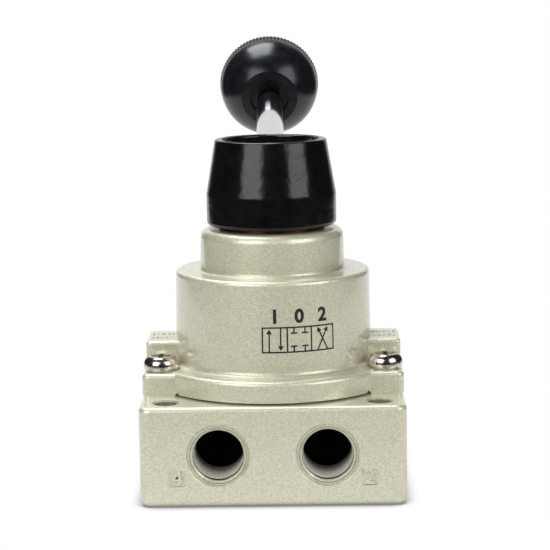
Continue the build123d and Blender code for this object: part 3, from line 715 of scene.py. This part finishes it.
# %% Wrap it on the bonnet
PRINT_LIFT = 0.03 * MM
BONNET_RADIUS = 22.8 * MM
OUTSIDE = 50 * MM
for step in range(-5, 20):
    bmesh.ops.bisect_plane(
        bm,
        geom=bm.verts[:] + bm.edges[:] + bm.faces[:],
        plane_co=(step * MM, 0, 0),
        plane_no=(1, 0, 0),
    )
bonnet_mesh = frame["nodes"]["bonnet"].data
bonnet_surface = BVHTree.FromPolygons(
    [v.co for v in bonnet_mesh.vertices], [p.vertices for p in bonnet_mesh.polygons]
)
for vert in bm.verts:
    angle = vert.co.x / BONNET_RADIUS
    outward = Vector((math.sin(angle), -math.cos(angle), 0))
    height = Vector((0, 0, vert.co.y))
    hit = bonnet_surface.ray_cast(height + outward * OUTSIDE, -outward)[0]
    vert.co = hit + outward * PRINT_LIFT
ink = plain_finish("print_ink", (0.008, 0.008, 0.008), (0.02, 0.02, 0.018), 0.0, (0.35, 0.5), bump=0.05)
make_piece("flow_symbol", bm, ink, "body", 60)

# %% [markdown]
# ## Cast pips on the blocks
# The tops of the two blocks carry two rows of very small raised marks. Plain pips stand there, each a
# low slanted oval with a narrower top, all made as one piece for each block. A ray cast down finds the
# block's top under each pip.

# %% Cast pips
PIP_HEIGHT = 0.3 * MM
PIP_RADIUS = 0.42 * MM
PIP_SINK = Vector((0, 0, 0.02 * MM))
PIP_STEP = 1.15 * MM
PIP_ROW = 2.2 * MM
BLOCK_MIDDLE = 25.9 * MM
ABOVE_BLOCK = 45 * MM
DOWN = Vector((0, 0, -1))
for side, label in ((-1, "left"), (1, "right")):
    slant = Matrix.Rotation(math.radians(-28 * side), 3, "Z")
    bm = bmesh.new()
    for row in (-PIP_ROW, PIP_ROW):
        for column in range(5):
            along = side * BLOCK_MIDDLE + (column - 2) * PIP_STEP
            top = bonnet_surface.ray_cast(Vector((along, row, ABOVE_BLOCK)), DOWN)[0]
            pip = bmesh.ops.create_circle(bm, cap_ends=True, segments=14, radius=PIP_RADIUS)["verts"]
            squeeze = (1, 2.2, 1) if (column + (row > 0)) % 2 else (0.85, 1.5, 1)
            bmesh.ops.scale(bm, vec=squeeze, verts=pip)
            bmesh.ops.rotate(bm, cent=(0, 0, 0), matrix=slant, verts=pip)
            bmesh.ops.translate(bm, vec=top - PIP_SINK, verts=pip)
            cap = [f for f in bm.faces if set(f.verts) == set(pip)]
            raised = bmesh.ops.extrude_face_region(bm, geom=cap)["geom"]
            lifted = [v for v in raised if isinstance(v, bmesh.types.BMVert)]
            bmesh.ops.translate(bm, vec=(0, 0, PIP_HEIGHT), verts=lifted)
            shrink = Matrix.Translation(top) @ Matrix.Scale(0.75, 4) @ Matrix.Translation(-top)
            bmesh.ops.transform(bm, matrix=shrink, verts=lifted)
            bmesh.ops.translate(bm, vec=(0, 0, 0.25 * PIP_HEIGHT), verts=lifted)
    make_piece("cast_pips_" + label, bm, bonnet_paint, "body", 50)

# %% [markdown]
# ## Knurled band of the knob
# A fine saw-tooth band runs round the ball just past its widest circle, where its two mould halves
# meet, and gives the fingers a grip. It is a many-sided ring whose every second corner stands out. The
# ring is extruded along the rod's direction, with a plain edge on both sides that dips into the ball.

# %% Knurled band
knob_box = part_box("ball_knob")
KNOB_RADIUS = (knob_box[1][0] - knob_box[0][0]) / 2
knob_centre = Vector(
    (
        (knob_box[0][0] + knob_box[1][0]) / 2,
        knob_box[1][1] - KNOB_RADIUS,
        knob_box[1][2] - KNOB_RADIUS,
    )
)
ROD_START = Vector((0, 0, 0.0723))
rod_axis = (knob_centre - ROD_START).normalized()
TEETH = 86
BAND_HALF = 1.1 * MM
BAND_SHIFT = 1.2 * MM
BAND_RISE = 0.2 * MM
BAND_BEVEL = 0.25 * MM
BAND_SINK = 0.08 * MM
TOOTH = 0.28 * MM
bm = bmesh.new()
ring = bmesh.ops.create_circle(bm, cap_ends=False, segments=2 * TEETH, radius=KNOB_RADIUS)["verts"]
edge_radius = math.sqrt(KNOB_RADIUS**2 - (BAND_HALF + BAND_SHIFT) ** 2) - BAND_SINK
bmesh.ops.scale(bm, vec=(edge_radius / KNOB_RADIUS, edge_radius / KNOB_RADIUS, 1), verts=ring)
bmesh.ops.translate(bm, vec=(0, 0, -BAND_HALF), verts=ring)
levels = ((-BAND_HALF + BAND_BEVEL, True), (BAND_HALF - BAND_BEVEL, True), (BAND_HALF, False))
last_edges = bm.edges[:]
for level, toothed in levels:
    grown = bmesh.ops.extrude_edge_only(bm, edges=last_edges)["geom"]
    verts = [g for g in grown if isinstance(g, bmesh.types.BMVert)]
    last_edges = [g for g in grown if isinstance(g, bmesh.types.BMEdge)]
    for vert in verts:
        spoke = Vector((vert.co.x, vert.co.y, 0)).normalized()
        index = round(math.atan2(vert.co.y, vert.co.x) / math.pi * TEETH)
        crest = KNOB_RADIUS + (BAND_RISE if index % 2 else BAND_RISE - TOOTH)
        radius = crest if toothed else edge_radius
        vert.co = spoke * radius + Vector((0, 0, level))
turn = Vector((0, 0, 1)).rotation_difference(rod_axis).to_matrix()
bmesh.ops.rotate(bm, cent=(0, 0, 0), matrix=turn, verts=bm.verts)
bmesh.ops.translate(bm, vec=knob_centre + BAND_SHIFT * rod_axis, verts=bm.verts)
make_piece("knob_band", bm, knurl, "lever", 25)

# %% [markdown]
# ## Studio
# A white floor carries a soft shadow. Three soft boxes light the valve: one overhead and one on each
# side in front. They also draw the pale patches on the black hub and knob. A fourth lamp fills the
# front without a reflection of its own.

# %% Floor
FLOOR_BACK = 1.2
FLOOR_FRONT = -0.3
FLOOR_SIDE = 0.3
bm = bmesh.new()
bmesh.ops.create_grid(bm, x_segments=1, y_segments=1, size=1.0)
bmesh.ops.scale(bm, vec=(FLOOR_SIDE, (FLOOR_BACK - FLOOR_FRONT) / 2, 1.0), verts=bm.verts)
bmesh.ops.translate(bm, vec=(0, (FLOOR_BACK + FLOOR_FRONT) / 2, cad_box[0][2]), verts=bm.verts)
floor_mesh = bpy.data.meshes.new("studio_floor")
bm.to_mesh(floor_mesh)
bm.free()
floor = bpy.data.objects.new("studio_floor", floor_mesh)
scene.collection.objects.link(floor)

# %% [markdown]
# The floor shows as white paper and darkens only where the valve shades it. An ambient occlusion node
# measures that shading, and its result sets how strongly the paper glows for the camera and in mirror
# reflections, where the paper in front of the valve fades out. Other rays meet plain matt paper, so the
# floor adds no light of its own to the valve.

# %% Floor paper
floor_paper, floor_tree, floor_shader = new_material("floor_paper")
floor_mesh.materials.append(floor_paper)
set_inputs(floor_shader, Roughness=0.9, Base_Color=(0.86, 0.86, 0.86, 1.0))
shade = add_node(floor_tree, "ShaderNodeAmbientOcclusion", samples=16)
set_inputs(shade, Distance=0.005)
shadow = add_node(floor_tree, "ShaderNodeMapRange", interpolation_type="SMOOTHSTEP")
set_inputs(shadow, From_Min=0.25, From_Max=0.85, To_Min=0.25, To_Max=1.0)
glow = add_node(floor_tree, "ShaderNodeEmission")
floor_path = add_node(floor_tree, "ShaderNodeLightPath")
floor_axes = add_node(floor_tree, "ShaderNodeSeparateXYZ")
backward = add_node(floor_tree, "ShaderNodeMapRange", interpolation_type="SMOOTHSTEP")
set_inputs(backward, From_Min=-0.22, From_Max=0.06, To_Max=0.95)
mirror_glow = add_node(floor_tree, "ShaderNodeMath", operation="MULTIPLY")
shown_glow = add_node(floor_tree, "ShaderNodeMix", data_type="FLOAT")
direct = add_node(floor_tree, "ShaderNodeMath", operation="MAXIMUM")
direct_or_clear = add_node(floor_tree, "ShaderNodeMath", operation="MAXIMUM")
paper = add_node(floor_tree, "ShaderNodeMixShader")
floor_output = next(n for n in floor_tree.nodes if n.bl_idname == "ShaderNodeOutputMaterial")
join(
    floor_tree,
    (shade.outputs["AO"], shadow.inputs["Value"]),
    (object_coordinates(floor_tree), floor_axes.inputs["Vector"]),
    (floor_axes.outputs["Y"], backward.inputs["Value"]),
    (backward.outputs["Result"], mirror_glow.inputs[0]),
    (shadow.outputs["Result"], mirror_glow.inputs[1]),
    (floor_path.outputs["Is Camera Ray"], shown_glow.inputs["Factor"]),
    (mirror_glow.outputs[0], shown_glow.inputs["A"]),
    (shadow.outputs["Result"], shown_glow.inputs["B"]),
    (shown_glow.outputs["Result"], glow.inputs["Strength"]),
    (floor_path.outputs["Is Camera Ray"], direct.inputs[0]),
    (floor_path.outputs["Is Glossy Ray"], direct.inputs[1]),
    (direct.outputs[0], direct_or_clear.inputs[0]),
    (floor_path.outputs["Is Transmission Ray"], direct_or_clear.inputs[1]),
    (direct_or_clear.outputs[0], paper.inputs["Fac"]),
    (floor_shader.outputs["BSDF"], paper.inputs[1]),
    (glow.outputs["Emission"], paper.inputs[2]),
    (paper.outputs["Shader"], floor_output.inputs["Surface"]),
)
print("floor runs from", FLOOR_FRONT, "to", FLOOR_BACK)

# %% Soft boxes
TARGET = Vector((0, 0, 0.05))


def soft_box(name, place, size, radiance, mirrored=True, tint=(1.0, 1.0, 1.0)):
    """A rectangular lamp that faces the target; its sides stay level, or along X and Y overhead."""
    lamp = bpy.data.lights.new(name, "AREA")
    lamp.shape = "RECTANGLE"
    lamp.size, lamp.size_y = size
    lamp.energy = radiance * math.pi * size[0] * size[1]
    lamp.color = tint
    holder = bpy.data.objects.new(name, lamp)
    scene.collection.objects.link(holder)
    outward = (Vector(place) - TARGET).normalized()
    upright = Vector((0, 1, 0)) if outward.z > 0.8 else Vector((0, 0, 1))
    side = upright.cross(outward).normalized()
    turn = Matrix((side, outward.cross(side), outward)).transposed().to_4x4()
    holder.matrix_world = Matrix.Translation(place) @ turn
    holder.visible_glossy = mirrored
    print(name, "radiance", radiance)


def around(azimuth, elevation, distance):
    """A place round the valve; azimuth 0 is straight in front and positive to the right."""
    a = math.radians(azimuth)
    e = math.radians(elevation)
    level = math.cos(e)
    return TARGET + distance * Vector((math.sin(a) * level, -math.cos(a) * level, math.sin(e)))


soft_box("soft_box_left", around(-35.5, 27, 0.75), (0.50, 0.49), 3.0)
soft_box("soft_box_right", around(53, 27, 0.75), (0.48, 0.49), 2.7)
soft_box("soft_box_top", (-0.16, 0.20, 0.76), (0.43, 0.55), 6.7, tint=(0.93, 0.97, 1.0))
soft_box("front_fill", around(-4, 26, 0.9), (0.36, 0.36), 8.2, mirrored=False)

# %% [markdown]
# ## World
# The camera sees plain white. In reflections the world is dim all round, apart from a bright sweep
# behind the valve that ends at a slope of about 45 degrees: the bright rod and the thin light rims
# mirror it. Other rays meet a low even light.

# %% World
world = bpy.data.worlds.new("studio_world")
world.use_nodes = True
scene.world = world
sky = world.node_tree
sky.nodes.clear()
direction = add_node(sky, "ShaderNodeTexCoord")
axes = add_node(sky, "ShaderNodeSeparateXYZ")
flatten = add_node(sky, "ShaderNodeVectorMath", operation="MULTIPLY")
flatten.inputs[1].default_value = (1.0, 1.0, 0.0)
heading = add_node(sky, "ShaderNodeVectorMath", operation="NORMALIZE")
heading_axes = add_node(sky, "ShaderNodeSeparateXYZ")
behind = add_node(sky, "ShaderNodeMapRange", interpolation_type="SMOOTHSTEP")
set_inputs(behind, From_Min=0.81, From_Max=0.94)
below = add_node(sky, "ShaderNodeMapRange", interpolation_type="SMOOTHSTEP")
set_inputs(below, From_Min=0.64, From_Max=0.78, To_Min=1.0, To_Max=0.0)
sweep = add_node(sky, "ShaderNodeMath", operation="MULTIPLY")
depth = add_node(sky, "ShaderNodeMapRange")
set_inputs(depth, To_Min=0.02, To_Max=0.8)
path = add_node(sky, "ShaderNodeLightPath")
reflected = add_node(sky, "ShaderNodeMath", operation="MAXIMUM")
seen = add_node(sky, "ShaderNodeMix", data_type="FLOAT")
set_inputs(seen, A=0.1)
level = add_node(sky, "ShaderNodeMix", data_type="FLOAT")
set_inputs(level, B=1.0)
light = add_node(sky, "ShaderNodeBackground")
set_inputs(light, Color=(1.0, 1.0, 1.0, 1.0))
sky_output = add_node(sky, "ShaderNodeOutputWorld")
join(
    sky,
    (direction.outputs["Generated"], axes.inputs["Vector"]),
    (direction.outputs["Generated"], flatten.inputs[0]),
    (flatten.outputs["Vector"], heading.inputs[0]),
    (heading.outputs["Vector"], heading_axes.inputs["Vector"]),
    (heading_axes.outputs["Y"], behind.inputs["Value"]),
    (axes.outputs["Z"], below.inputs["Value"]),
    (behind.outputs["Result"], sweep.inputs[0]),
    (below.outputs["Result"], sweep.inputs[1]),
    (sweep.outputs[0], depth.inputs["Value"]),
    (path.outputs["Is Glossy Ray"], reflected.inputs[0]),
    (path.outputs["Is Transmission Ray"], reflected.inputs[1]),
    (reflected.outputs[0], seen.inputs["Factor"]),
    (depth.outputs["Result"], seen.inputs["B"]),
    (path.outputs["Is Camera Ray"], level.inputs["Factor"]),
    (seen.outputs["Result"], level.inputs["A"]),
    (level.outputs["Result"], light.inputs["Strength"]),
    (light.outputs["Background"], sky_output.inputs["Surface"]),
)
